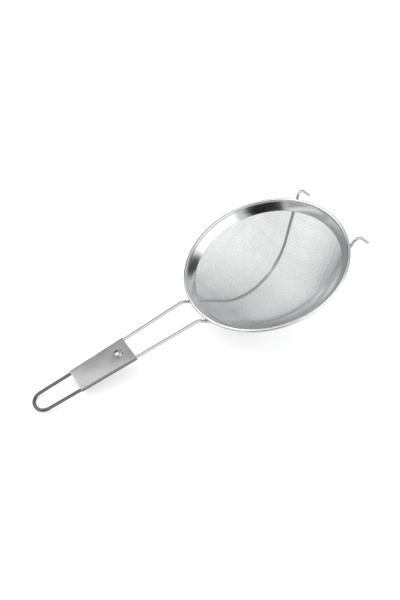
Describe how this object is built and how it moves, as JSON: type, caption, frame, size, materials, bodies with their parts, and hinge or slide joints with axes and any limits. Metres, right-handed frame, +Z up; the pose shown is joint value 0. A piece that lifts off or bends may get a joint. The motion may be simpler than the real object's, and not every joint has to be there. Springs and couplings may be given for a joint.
{
  "type": "tea strainer",
  "caption": "Wire-handled tea strainer: a round woven steel mesh bowl in a rolled rim band, carried by one bent wire with rest hooks, a riveted sheet grip and a hanging loop.",
  "frame": {"origin": "on the table, under the middle of the strainer's bounding box, as it lies at rest on the bottom of the bowl and the end of the hanging loop", "axes": "+Z up from the table; +X from the handle towards the rest hooks, the longest extent; +Y across the handle"},
  "size_m": [0.204, 0.1, 0.0546],
  "materials": {
    "rim_polished": "polished stainless steel strip",
    "hoop_wire": "plain drawn steel wire, hidden in the bead",
    "mesh_wire": "woven stainless wire cloth",
    "frame_wire": "bright drawn stainless wire",
    "grip_satin": "satin stainless sheet",
    "rivet_bright": "bright headed rivet",
    "weld": "resistance weld nugget"
  },
  "bodies": {
    "root": {"rim_band": "rim_polished", "rim_hoop_wire": "hoop_wire", "mesh_bowl": "mesh_wire", "frame_wire": "frame_wire", "grip_sleeve": "grip_satin", "grip_rivet": "rivet_bright", "frame_welds": "weld"}
  },
  "joints": []
}
